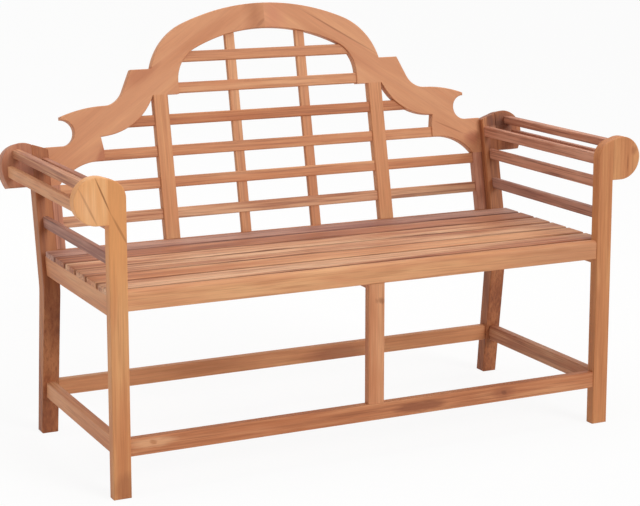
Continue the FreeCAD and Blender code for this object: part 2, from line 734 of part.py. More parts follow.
def slat_screw_holes(body, x):
    # A wide hole from below lets the screw's head in, a narrow one takes its shank up to the slat
    row_length = f"(slat_count - 1) * {slat_pitch}"
    wide = cut(body, "XY_Plane", f"{rail_foot} - 1", "screw_seat + 1",
               circles=[(x, slat_middle, "screw_head_radius + fit")])
    repeat(body, wide, "Y_Axis", "slat_count", row_length)
    narrow = cut(body, "XY_Plane", rail_foot, "side_rail_height + 1",
                 circles=[(x, slat_middle, "screw_radius + fit")])
    repeat(body, narrow, "Y_Axis", "slat_count", row_length)


bearer_middle = f"(({bearer_tenon[2]} + {bearer_tenon[3]}) / 2)"


def bearer_end(z):
    # Front of the rear rail at height z
    return f"({back_front(z)} + panel_set / cos(rake))"


def seat_bearer():
    body = new_body("seat_bearer")
    pad(body, "YZ_Plane", "-bearer_thick / 2", "bearer_thick", [
        (rail_back, rail_foot), (bearer_end(rail_foot), rail_foot),
        (bearer_end(slat_bottom), slat_bottom), (rail_back, slat_bottom)])
    ease(body, along_y)
    near, far, bottom, top = bearer_tenon
    pad(body, "YZ_Plane", near, f"{far} - {near}",
        block(f"{rail_back} - short_tenon / 2", f"{bearer_end(bearer_middle)} + short_tenon", bottom, top))
    slat_screw_holes(body, "0")


def seat_slat(number):
    body = new_body(f"seat_slat_{number + 1}")
    half = f"({leg_middle} + rail_thick / 2 + slat_overhang)"
    start = f"({slat_first} + {number} * {slat_pitch})"
    pad(body, "XY_Plane", slat_bottom, "slat_thick",
        block(f"-{half}", half, start, f"{start} + {slat_width}"))
    ease(body, lambda edge: True, "slat_ease")
    cut(body, "XY_Plane", f"{slat_bottom} - 1", "screw_bite + glue_room + 1",
        circles=[(x, f"{start} + {slat_width} / 2", "screw_radius + fit") for x in screw_rows])


def post_tenon(near, far):
    return (f"{near} + tenon_shoulder", f"{far} - tenon_shoulder",
            f"{panel_middle} - thin_tenon / 2", f"{panel_middle} + thin_tenon / 2")


def panel_post(label, near, far, top):
    # An upright of the full thickness of the back, with a tenon at foot and head
    body = new_body(label, leaning=True)
    tall = f"({top} - {rear_top})"
    pad(body, "XY_Plane", rear_top, tall, block(near, far, "panel_set", panel_back))
    ease(body, along_z)
    pad(body, "XY_Plane", f"{rear_top} - tenon_length", f"{tall} + 2 * tenon_length",
        block(*post_tenon(near, far)))
    return body


def lattice_tenon(level):
    # Section of the tenon at the end of a lattice slat: n range, then v range
    middle = f"({lattice_front} + lattice_thick / 2)"
    return (f"({middle} - thin_tenon / 2)", f"({middle} + thin_tenon / 2)",
            f"({lattice_bottom(level)} + thin_shoulder)", f"({lattice_top(level)} - thin_shoulder)")


def upright():
    body = panel_post("upright_right", upright_inner, "arch_half", "foot_bottom")
    start, length = stretch(f"{upright_inner} - 1", "arch_half + 1")
    slot = cut(body, "YZ_Plane", start, length, [roomy(*lattice_tenon(0))])
    repeat(body, slot, "Z_Axis", "4", "3 * lattice_pitch")


def end_stile():
    body = panel_post("end_stile_right", stile_inner, inner, wing_bottom)
    start, length = stretch(f"{stile_inner} - 1", f"{stile_inner} + {short_deep}")
    cut(body, "YZ_Plane", start, length, [roomy(*lattice_tenon(level)) for level in (0, 1)])


def narrow_upright():
    body = new_body("narrow_upright_right", leaning=True)
    top = f"({arch_height(narrow_far)} - fit)"
    outline = [(narrow_near, rear_top), (narrow_far, rear_top),
               (narrow_far, top, inner_radius, 1), (narrow_near, f"{arch_height(narrow_near)} - fit")]
    pad(body, "XZ_Plane", narrow_front, "narrow_thick", outline)
    ease(body, along_z)
    pad(body, "XY_Plane", f"{rear_top} - tenon_length", f"{top} - {rear_top} + 2 * tenon_length",
        block(*post_tenon(narrow_near, narrow_far)))
    notch = cut(body, "XZ_Plane", f"{narrow_front} - 1", f"{lap} - {narrow_front} + 1",
                [block(f"{narrow_near} - 1", f"{narrow_far} + 1", lattice_bottom(0), lattice_top(0))])
    repeat(body, notch, "Z_Axis", "6", "5 * lattice_pitch")


def lattice_slat(label, level, corners, start, length):
    # A horizontal slat of the back, with a stub tenon at each end
    body = new_body(label, leaning=True)
    pad(body, "XZ_Plane", lattice_front, "lattice_thick", corners)
    ease(body, along_x)
    pad(body, "YZ_Plane", start, length, block(*lattice_tenon(level)))
    return body


def middle_slat(level):
    bottom = lattice_bottom(level)
    top = lattice_top(level)
    if level < 5:
        end = upright_inner if level < 4 else foot_inner
        corners = block(f"-{end}", end, bottom, top)
    else:
        end = f"({haunch_reach(bottom)} - fit)"
        high_end = f"({haunch_reach(top)} - fit)"
        corners = [(f"-{end}", bottom), (end, bottom, "haunch_radius", 1),
                   (high_end, top), (f"-{high_end}", top, "haunch_radius", 1)]
    tip = f"({end} + short_tenon)"
    body = lattice_slat(f"lattice_slat_middle_{level + 1}", level, corners, f"-{tip}", f"2 * {tip}")
    for near, far in ((narrow_near, narrow_far), (f"-{narrow_far}", f"-{narrow_near}")):
        cut(body, "XZ_Plane", lap, f"{panel_back} - {lap}", [block(near, far, f"{bottom} - 1", f"{top} + 1")])


def side_slat(level):
    bottom = lattice_bottom(level)
    top = lattice_top(level)
    if level < 3:
        end = stile_inner if level < 2 else heel_x
        corners = block("arch_half", end, bottom, top)
    else:
        end = f"({under_reach(bottom)} - fit)"
        corners = [("arch_half", bottom), (end, bottom, under_radius, -1),
                   (f"{under_reach(top)} - fit", top), ("arch_half", top)]
    start, length = stretch("arch_half - short_tenon", f"{end} + short_tenon")
    lattice_slat(f"lattice_slat_right_{level + 1}", level, corners, start, length)


def crest_board(body):
    # One half of the crest as it is shaped, from the joint at the crown out to the back leg
    shoulder_x = f"({inner} - wing_shoulder)"
    shoulder_v = lattice_bottom(2)
    shoulder_radius = level_arc(f"{stile_inner} - {shoulder_x}", f"{shoulder_v} - {wing_bottom}")
    outline = [
        ("0", crown_inner, inner_radius, -1),
        (inner_turn_x, inner_turn_v, "haunch_radius", -1),
        (foot_inner, "haunch_bottom"),
        (foot_inner, "foot_bottom"),
        ("arch_half", "foot_bottom", under_radius, 1),
        (heel_top_x, "heel_top"),
        (heel_x, lattice_top(2)),
        (heel_x, shoulder_v),
        (shoulder_x, shoulder_v, shoulder_radius, -1),
        (stile_inner, wing_bottom),
        (inner, wing_bottom),
        (inner, "wing_top"),
        (ear_x, "wing_top", "ear_radius", -1),
        (f"{ear_x} - ear_radius", "wing_top + ear_radius", "ear_radius", -1),
        (ear_x, "wing_top + 2 * ear_radius"),
        (ear_x, ear_top, hump_radius, 1),
        (hump_x, "hump_height", f"{slope_reach} / tan(slope_angle / 2)", -1),
        (f"{slope_base} - {slope_reach} * cos(slope_angle)",
         f"hump_height + {slope_reach} * sin(slope_angle)"),
        (ledge_x, "ledge_height"),
        ("arch_half", "ledge_height", outer_haunch, 1),
        ("arch_top_half", outer_turn_v, "arch_top_radius", 1),
        ("0", "crown"),
    ]
    pad(body, "XZ_Plane", "panel_set", "panel_thick", outline)
    # Faces are eased all round, apart from the crown joint and where leg, stile and upright meet them
    square = [("X", "0"), ("X", inner), ("Z", wing_bottom), ("Z", "foot_bottom")]
    ease(body, lambda edge: edge.BoundBox.YLength < 0.01
         and not any(lies_at(edge, *where) for where in square), "crest_ease")


def crest_half():
    body = new_body("crest_right", leaning=True)
    crest_board(body)
    waste = segment_joint + [("arch_half + segment_nib", segment_foot), ("arch_half + segment_nib", above)]
    cut(body, "XZ_Plane", "panel_set - 1", "panel_thick + 2", [waste])
    start, length = stretch(f"{inner} - stile_width / 2", f"{inner} + tenon_length")
    pad(body, "YZ_Plane", start, length, block(*wing_tenon))
    cut(body, "XZ_Plane", "panel_set - 1", "panel_thick + 2", circles=[(pin_x, wing_middle, pin_hole)])
    # mortises for the uprights below
    cut(body, "XY_Plane", "foot_bottom - 1", f"{deep} + 1", [roomy(*post_tenon(upright_inner, "arch_half"))])
    cut(body, "XY_Plane", f"{wing_bottom} - 1", f"{deep} + 1", [roomy(*post_tenon(stile_inner, inner))])
    cut(body, "XY_Plane", f"{arch_height(narrow_far)} - tenon_length", f"tenon_length + {deep}",
        [roomy(*post_tenon(narrow_near, narrow_far))])
    # mortises for the lattice slats: the top two of the middle, the top two of the side
    ends = {5: (haunch_x, haunch_reach(lattice_bottom(5))), 4: (f"{foot_inner} - 1", foot_inner),
            3: ("arch_half", under_reach(lattice_bottom(3))), 2: (f"{heel_x} - 1", heel_x)}
    for level, (near, end) in ends.items():
        start, length = stretch(near, f"{end} + {short_deep}")
        cut(body, "YZ_Plane", start, length, [roomy(*lattice_tenon(level))])
    # holes for the two dowels across the crown joint
    start, length = stretch("-1", "pin_length / 2 + glue_room")
    cut(body, "YZ_Plane", start, length, circles=[(panel_middle, v, pin_hole) for v in crown_pins])


def crest_segment():
    body = new_body("crest_segment_right", leaning=True)
    crest_board(body)
    waste = segment_joint + [(f"{inner} + 1", segment_foot), (f"{inner} + 1", f"{wing_bottom} - 1"),
                             ("-1", f"{wing_bottom} - 1"), ("-1", above)]
    cut(body, "XZ_Plane", "panel_set - 1", "panel_thick + 2", [waste])


screw_rows = [leg_middle, f"-{leg_middle}", "0"]
crown_pins = ["(crown - arch_band / 3)", "(crown - arch_band * 2 / 3)"]


def round_bar(radius, length, where):
    bar = doc.addObject("Part::Cylinder", "Bar")
    bar.setExpression("Radius", bound(radius))
    bar.setExpression("Height", bound(length))
    bar.setExpression("Placement", bound(where))
    return bar


def group(label, members):
    # Like fasteners, each a solid of its own
    body = doc.addObject("Part::Compound", label)
    body.Label = label
    body.Links = members
    nodes.append(body)


def dowel_pins():
    def pin(x, y, z, turn, axis="1; 0; 0"):
        return round_bar("pin_radius", "pin_length", place(x, f"{y} - {depth} / 2", z, turn, axis))

    pins = []
    side_start = f"({inner} + pin_inset - glue_room)"
    for x, start in ((pin_x, side_start), (f"-{pin_x}", f"-({side_start} + pin_length)")):
        for z in (front_rail_middle, high_pin):
            pins.append(pin(x, "front_leg_depth - pin_length - glue_room", z, "-90"))
        pins.append(pin(x, f"{rear_stretcher_y} - pin_shift", high_pin, "-90"))
        for v in (rear_middle, wing_middle):
            y, z = raked(v, f"{panel_back} - pin_length - glue_room")
            pins.append(pin(x, y, z, "-90 - rake"))
        for z, face in ((side_rail_middle, back_front), (low_pin, foot_line)):
            for y in ("front_leg_depth - pin_inset", f"{face(z)} + pin_inset"):
                pins.append(pin(start, y, z, "90", "0; 1; 0"))
    for v in crown_pins:
        y, z = raked(v, panel_middle)
        pins.append(pin("-pin_length / 2", y, z, "90", "0; 1; 0"))
    group("dowel_pins", pins)


def slat_screws():
    screws = []
    head_bottom = f"{rail_foot} + screw_seat - screw_head"
    for x in screw_rows:
        for number in range(int(value("slat_count"))):
            y = f"{slat_middle} + {number} * {slat_pitch} - {depth} / 2"
            screw = doc.addObject("Part::Fuse", "Screw")
            screw.Base = round_bar("screw_head_radius", "screw_head", place(x, y, head_bottom))
            screw.Tool = round_bar("screw_radius", "side_rail_height - screw_seat + screw_head + screw_bite",
                                   place(x, y, head_bottom))
            screws.append(screw)
    group("slat_screws", screws)


# Pieces that come in pairs are made for the right side and mirrored
front_leg()
front_roll()
back_leg()
back_roll()
side_rail()
side_stretcher()
for which in arm_sections:
    arm_slat(which)
upright()
end_stile()
narrow_upright()
for level in range(4):
    side_slat(level)
crest_half()
crest_segment()
for body in list(nodes):
    twin = doc.addObject("Part::Mirroring", body.Label.replace("_right", "_left"))
    twin.Label = body.Label.replace("_right", "_left")
    twin.Source = body
    twin.Normal = FreeCAD.Vector(1, 0, 0)
    nodes.append(twin)
front_rail()
front_stretcher()
front_centre_post()
rear_rail()
rear_stretcher()
seat_bearer()
for number in range(int(value("slat_count"))):
    seat_slat(number)
for level in range(6):
    middle_slat(level)
dowel_pins()
slat_screws()
doc.recompute()

for item in doc.Objects:
    if "Invalid" in item.State or "Error" in item.State:
        raise RuntimeError(f"{item.Label} failed: {item.State}")
for node in nodes:
    if node.Shape.isNull() or not node.Shape.isValid():
        raise RuntimeError(f"{node.Label} has no valid shape")
os.makedirs("parts", exist_ok=True)
for node in nodes:
    node.Shape.exportStep(f"parts/{node.Label}.step")
    print(node.Label, len(node.Shape.Solids), round(node.Shape.Volume))
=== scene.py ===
import math

import bpy
import numpy as np
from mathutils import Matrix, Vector


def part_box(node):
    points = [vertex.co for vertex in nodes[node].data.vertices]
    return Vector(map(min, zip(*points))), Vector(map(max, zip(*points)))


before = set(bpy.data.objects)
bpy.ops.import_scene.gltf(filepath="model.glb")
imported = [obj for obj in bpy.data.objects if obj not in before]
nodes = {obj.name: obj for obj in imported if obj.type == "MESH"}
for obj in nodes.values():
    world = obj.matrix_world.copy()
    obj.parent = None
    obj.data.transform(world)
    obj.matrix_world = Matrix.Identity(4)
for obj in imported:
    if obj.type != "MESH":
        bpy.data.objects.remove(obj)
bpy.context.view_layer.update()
print("frame loaded with", len(nodes), "nodes")


def linear(hexColour):
    # sRGB hex to linear light
    parts = [int(hexColour[i:i + 2], 16) / 255 for i in (0, 2, 4)]
    return [c / 12.92 if c <= 0.04045 else ((c + 0.055) / 1.055) ** 2.4 for c in parts] + [1.0]


def addNode(tree, kind, settings=None, links=None):
    # a node with its settings and links; a key that names or numbers an input sets that socket
    node = tree.nodes.new(kind)
    for key, value in (settings or {}).items():
        if isinstance(key, int) or key in node.inputs:
            node.inputs[key].default_value = value
        else:
            setattr(node, key, value)
    for key, source in (links or {}).items():
        tree.links.new(source, node.inputs[key])
    return node


blend = {"share": 0, "under": 6, "over": 7, "mixed": 2}   # sockets of a Mix node that mixes colours


def emptyMaterial(name):
    material = bpy.data.materials.new(name)
    material.use_nodes = True
    material.node_tree.nodes.clear()
    return material


def setRamp(node, stops):
    # the two stops of a new colour ramp, each a level and a linear colour
    for element, (level, colour) in zip(node.color_ramp.elements, stops):
        element.position = level
        element.color = colour


def grainTurn(direction):
    # turns a pattern's own x axis along the grain
    return Vector((1, 0, 0)).rotation_difference(Vector(direction)).to_euler()


# Teak from different parts of the log: pale sapwood, the body colour, darker lines, reddish heartwood
tones = {
    "amber": {"pale": "F2BC86", "body": "E6A46A", "deep": "B87640", "heart": "D6915A"},
    "straw": {"pale": "DEA677", "body": "D29267", "deep": "A5683F", "heart": "C48352"},
    "honey": {"pale": "D89C68", "body": "C98657", "deep": "9C5C34", "heart": "B77044"},
    "tan": {"pale": "DBA277", "body": "CC8B62", "deep": "9E6240", "heart": "BA744C"},
    "apricot": {"pale": "D69A70", "body": "CE9068", "deep": "AE6F4A", "heart": "C4835C"},
    "rose": {"pale": "E2B28C", "body": "C88E6A", "deep": "84492F", "heart": "A96545"},
    "copper": {"pale": "D39468", "body": "BE7A52", "deep": "8C5132", "heart": "B06840"},
    "blush": {"pale": "D69F84", "body": "C08367", "deep": "7C4A38", "heart": "A86A51"},
    "russet": {"pale": "C68B6A", "body": "B27355", "deep": "78442F", "heart": "985A3E"},
    "umber": {"pale": "C2937F", "body": "AA7866", "deep": "643E33", "heart": "905C4F"},
    "chestnut": {"pale": "B9794F", "body": "A3633F", "deep": "683722", "heart": "8A4E31"},
}

figure = {
    # layers of noise: real sizes in millimetres along the grain and across it, and detail; the fibres of teak
    # are finer than a pixel, so they are drawn about three times too coarse, to show at all
    "layers": {
        "clouds": (420, 48, 3.0),
        "streaks": (260, 6.5, 3.0),
        "lines": (170, 3.2, 2.0),
        "fibres": (60, 1.6, 2.0),
        "knots": (40, 5, 2.0),
    },
    "finer": 0.6,   # how much of each finer octave shows
    # levels of a layer at which a colour begins and is full
    "paleToBody": (0.36, 0.5),
    "heart": (0.5, 0.63),
    "paleStreaks": (0.48, 0.32),
    "deepStreaks": (0.53, 0.7),
    "deepLines": (0.54, 0.66),
    "lineShare": 0.7,   # strength of the fine lines beside the streaks
    "gapShadeFacing": (0.5, 0.9),   # how squarely a face looks to the front or back, which sets where the painted shade in the gaps goes
    # colour of the painted shade in the gaps between slats
    "gapShadeColour": "4A2A1C",
    "ragged": 0.014,   # metres that the outline of a knot wanders
    "seedStep": (1.37, 0.613, 0.431),   # metres between the places in the log that boards are cut from
    # what fibres do to the shade and the relief, and streaks to the gloss
    "shade": {"From Min": 0.3, "From Max": 0.7, "To Min": 0.93, "To Max": 1.05},
    "relief": {"Strength": 0.3, "Distance": 0.0003},
    "gloss": {"From Min": 0.3, "From Max": 0.7, "To Min": 0.64, "To Max": 0.5},
    "oil": {"IOR": 1.45, "Specular IOR Level": 0.35},
}


def teak(nodeName, grain, tone, seed, streak, heart, marks=(), edges=0.0):
    # Teak, planed, sanded and oiled: satin, with soft clouds of reddish heartwood, streaks along the grain
    # and fine darker lines; seed picks the place in the log, streak and heart say how strongly those show
    material = emptyMaterial(f"oiledTeak_{nodeName}")
    tree = material.node_tree
    colours = {part: linear(value) for part, value in tones[tone].items()}
    place = addNode(tree, "ShaderNodeTexCoord").outputs["Object"]
    cutAt = [seed * step for step in figure["seedStep"]]
    noise = {}
    for layer, (along, across, detail) in figure["layers"].items():
        if layer == "knots" and not marks:
            continue
        spot = addNode(tree, "ShaderNodeMapping", {
            "vector_type": "TEXTURE", "Location": cutAt, "Rotation": grainTurn(grain),
            "Scale": (along / 1000, across / 1000, across / 1000)}, {"Vector": place})
        noise[layer] = addNode(tree, "ShaderNodeTexNoise", {
            "Scale": 1.0, "Detail": detail, "Roughness": figure["finer"]},
            {"Vector": spot.outputs["Vector"]}).outputs

    # washes of colour, one over another: the level that steers each, where it begins and is full, its most
    # and its colour
    clouds = noise["clouds"]["Fac"]
    streaks = noise["streaks"]["Fac"]
    washes = [
        (clouds, figure["heart"], heart, colours["heart"]),
        (streaks, figure["paleStreaks"], streak, colours["pale"]),
        (streaks, figure["deepStreaks"], streak, colours["deep"]),
        (noise["lines"]["Fac"], figure["deepLines"], figure["lineShare"] * streak, colours["deep"]),
    ]

    # knots, glue lines, dark figure and painted shade: soft ellipsoids at their own places on the board,
    # whose outlines, unless they are straight, are drawn out along the grain by a shift of a few millimetres
    if marks:
        shift = addNode(tree, "ShaderNodeVectorMath", {
            "operation": "MULTIPLY_ADD", 1: [figure["ragged"]] * 3, 2: [-figure["ragged"] / 2] * 3},
            {0: noise["knots"]["Color"]})
        ragged = addNode(tree, "ShaderNodeVectorMath", {"operation": "ADD"},
                         {0: place, 1: shift.outputs["Vector"]}).outputs["Vector"]
    for mark in marks:
        spot = addNode(tree, "ShaderNodeMapping", {
            "vector_type": "TEXTURE", "Location": mark["at"], "Rotation": grainTurn(mark["along"]),
            "Scale": [size / 1000 for size in mark["size"]]},
            {"Vector": place if mark["straight"] else ragged})
        depth = addNode(tree, "ShaderNodeTexGradient", {"gradient_type": "SPHERICAL"},
                        {"Vector": spot.outputs["Vector"]})
        washes.append((depth.outputs["Fac"], (0.0, mark["soft"]), mark["share"], linear(mark["colour"])))

    if edges:   # painted shade on front and back faces, in the gaps between slats
        facing = addNode(tree, "ShaderNodeSeparateXYZ", links={
            "Vector": addNode(tree, "ShaderNodeNewGeometry").outputs["Normal"]})
        sideways = addNode(tree, "ShaderNodeMath", {"operation": "ABSOLUTE"}, {0: facing.outputs["Y"]})
        washes.append((sideways.outputs["Value"], figure["gapShadeFacing"], edges, linear(figure["gapShadeColour"])))

    wood = addNode(tree, "ShaderNodeValToRGB", links={"Fac": clouds})
    setRamp(wood, zip(figure["paleToBody"], (colours["pale"], colours["body"])))
    coloured = wood.outputs["Color"]
    for level, (begins, full), most, colour in washes:
        share = addNode(tree, "ShaderNodeMapRange", {
            "From Min": begins, "From Max": full, "To Min": 0.0, "To Max": most}, {"Value": level})
        mix = addNode(tree, "ShaderNodeMix", {"data_type": "RGBA", blend["over"]: colour},
                      {blend["share"]: share.outputs["Result"], blend["under"]: coloured})
        coloured = mix.outputs[blend["mixed"]]
    shade = addNode(tree, "ShaderNodeMapRange", figure["shade"], {"Value": noise["fibres"]["Fac"]})
    mix = addNode(tree, "ShaderNodeMix", {"data_type": "RGBA", "blend_type": "MULTIPLY", blend["share"]: 1.0},
                  {blend["under"]: coloured, blend["over"]: shade.outputs["Result"]})

    relief = addNode(tree, "ShaderNodeBump", figure["relief"], {"Height": noise["fibres"]["Fac"]})
    gloss = addNode(tree, "ShaderNodeMapRange", figure["gloss"], {"Value": streaks})
    surface = addNode(tree, "ShaderNodeBsdfPrincipled", figure["oil"], {
        "Base Color": mix.outputs[blend["mixed"]], "Roughness": gloss.outputs["Result"],
        "Normal": relief.outputs["Normal"]})
    addNode(tree, "ShaderNodeOutputMaterial", links={"Surface": surface.outputs["BSDF"]})
    return material


def dress(nodeName, material):
    nodes[nodeName].material_slots[0].material = material


def dressBoards(group):
    # a group's boards, each with its tone, seed, streak and heart, and its marks if it has any
    for nodeName, board in group["boards"].items():
        dress(nodeName, teak(nodeName, group["grain"], *board, group.get("marks", {}).get(nodeName, ())))


sides = ("left", "right")
backPanel = {"rake": math.radians(12), "footY": 174.7, "footZ": 426.3}   # front face; foot in millimetres
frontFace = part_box("front_leg_left")[0].y   # of the front legs
alongX = (1, 0, 0)
alongY = (0, 1, 0)
upright = (0, 0, 1)
upTheLean = (0, math.sin(backPanel["rake"]), math.cos(backPanel["rake"]))


def inTheLean(angle):
    # a direction on the plane of the back, turned up from level by an angle in degrees
    turn = math.radians(angle)
    return (math.cos(turn), math.sin(turn) * upTheLean[1], math.sin(turn) * upTheLean[2])


def leanPlace(x, v):
    # a place on the front of the back panel, from millimetres across and up the lean
    y = backPanel["footY"] + v * upTheLean[1]
    z = backPanel["footZ"] + v * upTheLean[2]
    return (x / 1000, y / 1000, z / 1000)


def facePlace(x, z):
    # a place on the front of the front legs, from millimetres across and up
    return (x / 1000, frontFace, z / 1000)


def softMark(at, along, size, share, colour, soft=0.5, straight=False):
    # an ellipsoid of colour: its centre in metres, its first axis, its half sizes in millimetres, the most
    # that its colour covers, and how deep inside it, from 0 at the rim to 1 at the centre, it is full
    return {"at": at, "along": along, "size": size, "share": share, "colour": colour, "soft": soft,
            "straight": straight}


lineReach = 1.12   # a line's ellipsoid beside its length, because its tips fade


def lineMark(start, end, halfWidth, share, colour):
    # a thin straight mark between two places, its half width in millimetres
    run = Vector(end) - Vector(start)
    middle = (Vector(start) + Vector(end)) / 2
    halfLength = run.length * 1000 / 2 * lineReach
    return softMark(middle, run, (halfLength, halfWidth, halfWidth), share, colour, straight=True)


downTheSlant = (0.42, 0, -0.9)   # of the growth lines on the left head
leftLine = [   # the line that runs on into the leg
    lineMark(facePlace(-627, 668), facePlace(-594, 589), 2.2, 0.75, "8A5128"),
    lineMark(facePlace(-594, 590), facePlace(-556, 517), 3.0, 0.55, "9A5F35"),
]
frontLegs = {
    "grain": upright,
    "boards": {
        "front_leg_left": ("honey", 3, 0.38, 0.35),
        "front_roll_left": ("amber", 4, 0.2, 0.2),
        "front_leg_right": ("honey", 9, 0.38, 0.35),
        "front_roll_right": ("honey", 14, 0.35, 0.5),
    },
    "marks": {
        "front_leg_left": [   # bright at the head, dark at the foot
            softMark(facePlace(-585, 600), upright, (220, 60, 60), 0.9, "DC985E", 0.6),
            softMark(facePlace(-572, 22), upright, (40, 14, 30), 0.45, "8F5637"),
            *leftLine,
        ],
        "front_roll_left": [   # a second line, and a paler patch outside it
            *leftLine,
            lineMark(facePlace(-660, 646), facePlace(-622, 568), 2.8, 0.7, "9C6034"),
            softMark(facePlace(-648, 610), downTheSlant, (55, 16, 30), 0.45, "EBB283", 0.8),
        ],
        "front_roll_right": [   # a short line, a spot and the joint with the leg
            lineMark(facePlace(638, 583), facePlace(638, 627), 2.2, 0.6, "8F5630"),
            softMark(facePlace(655, 632), upright, (14, 7, 9), 0.5, "9A5A38"),
            lineMark(facePlace(599, 560), facePlace(599, 668), 1.4, 0.7, "8A5230"),
        ],
    },
}
dressBoards(frontLegs)
print("front legs dressed")

shadeBehindLeftArm = [   # painted shade that darkens the wood behind the arm slats
    softMark((-0.597, 0.194, 0.608), alongX, (52, 40, 30), 0.7, "6E3E2E", 0.8),
]
shadeAndMottleBehindRightArm = [   # the same painted shade, and mottled figure
    softMark((0.61, 0.199, 0.634), alongX, (44, 40, 32), 0.8, "5E3629", 0.8),
    softMark((0.582, 0.2, 0.642), upTheLean, (22, 30, 12), 0.6, "6A3C2C"),
    softMark((0.592, 0.198, 0.622), alongX, (14, 30, 9), 0.5, "C48E72"),
    softMark((0.57, 0.19, 0.6), upTheLean, (30, 30, 10), 0.5, "B5785C"),
]
backLegs = {
    "grain": upTheLean,
    "boards": {
        "back_leg_left": ("chestnut", 21, 0.45, 0.7),
        "back_leg_right": ("chestnut", 24, 0.6, 0.7),
        "back_roll_left": ("russet", 22, 0.25, 0.7),
        "back_roll_right": ("chestnut", 27, 0.4, 0.7),
    },
    "marks": {
        "back_leg_left": shadeBehindLeftArm,
        "back_leg_right": shadeAndMottleBehindRightArm,
        "back_roll_left": shadeBehindLeftArm,
        "back_roll_right": shadeAndMottleBehindRightArm,
    },
}
dressBoards(backLegs)
print("back legs dressed")

rails = {
    "grain": alongX,
    "boards": {
        "front_rail": ("straw", 31, 0.5, 0.5),
        "rear_rail": ("chestnut", 33, 0.5, 0.6),
        "front_stretcher": ("copper", 38, 0.55, 0.6),
        "rear_stretcher": ("straw", 37, 0.35, 0.2),
    },
    "marks": {
        "front_rail": [   # redder towards the right end
            softMark(facePlace(470, 405), alongX, (260, 60, 50), 0.55, "BA7F5C", 0.8),
        ],
        "front_stretcher": [   # a pale swirl and its core, a stretch of dark heart, an eye and its core
            softMark(facePlace(-510, 110), alongX, (60, 20, 13), 0.55, "E2AE84"),
            softMark(facePlace(-512, 111), alongX, (9, 20, 6), 0.6, "A9683F"),
            softMark(facePlace(108, 103), alongX, (76, 20, 13), 0.65, "7C432C", 0.35),
            softMark(facePlace(321, 106), alongX, (36, 20, 19), 0.55, "945539"),
            softMark(facePlace(322, 106), alongX, (10, 20, 6), 0.5, "6A3826"),
        ],
        "rear_stretcher": [   # two darker stretches
            softMark((-0.206, 0.19, 0.105), alongX, (120, 60, 20), 0.25, "96573A"),
            softMark((0.145, 0.19, 0.099), alongX, (110, 60, 30), 0.55, "8A4C38"),
        ],
    },
}
dressBoards(rails)

sideRails = {
    "grain": alongY,
    "boards": {
        "side_rail_left": ("tan", 41, 0.55, 0.6),
        "side_rail_right": ("tan", 43, 0.55, 0.6),
        "side_stretcher_left": ("tan", 45, 0.55, 0.6),
        "side_stretcher_right": ("rose", 47, 0.55, 0.6),
        "seat_bearer": ("tan", 49, 0.55, 0.6),
    },
}
dressBoards(sideRails)

centrePost = {
    "grain": upright,
    "boards": {"front_centre_post": ("tan", 51, 0.45, 0.6)},
    "marks": {
        "front_centre_post": [softMark(facePlace(8, 350), upright, (9, 4, 20), 0.55, "7A4628")],   # a knot
    },
}
dressBoards(centrePost)
print("rails and stretchers dressed")

seat = {
    # tone and seed, from the front slat back
    "slats": [("rose", 61), ("tan", 62), ("rose", 63), ("rose", 64), ("russet", 65), ("umber", 66)],
    # the last value: how strongly painted shade in the gaps darkens the slats' front and back faces
    "streak": 1.0, "heart": 0.9, "edges": 0.45,
}
for number, (tone, seed) in enumerate(seat["slats"], start=1):
    nodeName = f"seat_slat_{number}"
    dress(nodeName, teak(nodeName, alongX, tone, seed, seat["streak"], seat["heart"], edges=seat["edges"]))
print("seat dressed")

arms = {
    "tones": {   # left and right
        "inner": ("blush", "blush"),
        "top": ("rose", "blush"),
        "outer": ("tan", "blush"),
        "upper": ("blush", "blush"),
        "lower": ("umber", "umber"),
    },
    "firstSeed": 71, "streak": 0.8, "heart": 0.8,
}
armSeed = arms["firstSeed"]
for which, pair in arms["tones"].items():
    for side, tone in zip(sides, pair):
        nodeName = f"arm_{which}_slat_{side}"
        dress(nodeName, teak(nodeName, alongY, tone, armSeed, arms["streak"], arms["heart"]))
        armSeed += 1
print("arms dressed")

back = {   # tone and seed; where a piece has a left and a right one, the right one has the next seed
    "uprights": {"upright": ("straw", 81), "narrow_upright": ("tan", 84), "end_stile": ("blush", 87)},
    "uprightStreak": 0.5, "uprightHeart": 0.3,
    # from the lowest up
    "middle": [("rose", 91), ("tan", 92), ("tan", 93), ("copper", 94), ("tan", 95), ("apricot", 96)],
    "sides": [("rose", 101), ("tan", 103), ("tan", 105), ("copper", 107)],
    "slatStreak": 0.7, "slatHeart": 0.5,
}
for which, (tone, seed) in back["uprights"].items():
    for step, side in enumerate(sides):
        nodeName = f"{which}_{side}"
        dress(nodeName, teak(nodeName, upTheLean, tone, seed + step,
                             back["uprightStreak"], back["uprightHeart"]))
for number, (tone, seed) in enumerate(back["middle"], start=1):
    nodeName = f"lattice_slat_middle_{number}"
    dress(nodeName, teak(nodeName, alongX, tone, seed, back["slatStreak"], back["slatHeart"]))
for number, (tone, seed) in enumerate(back["sides"], start=1):
    for step, side in enumerate(sides):
        nodeName = f"lattice_slat_{side}_{number}"
        dress(nodeName, teak(nodeName, alongX, tone, seed + step, back["slatStreak"], back["slatHeart"]))
print("lattice dressed")

crestSlope = 34   # degrees that the grain climbs towards the crown
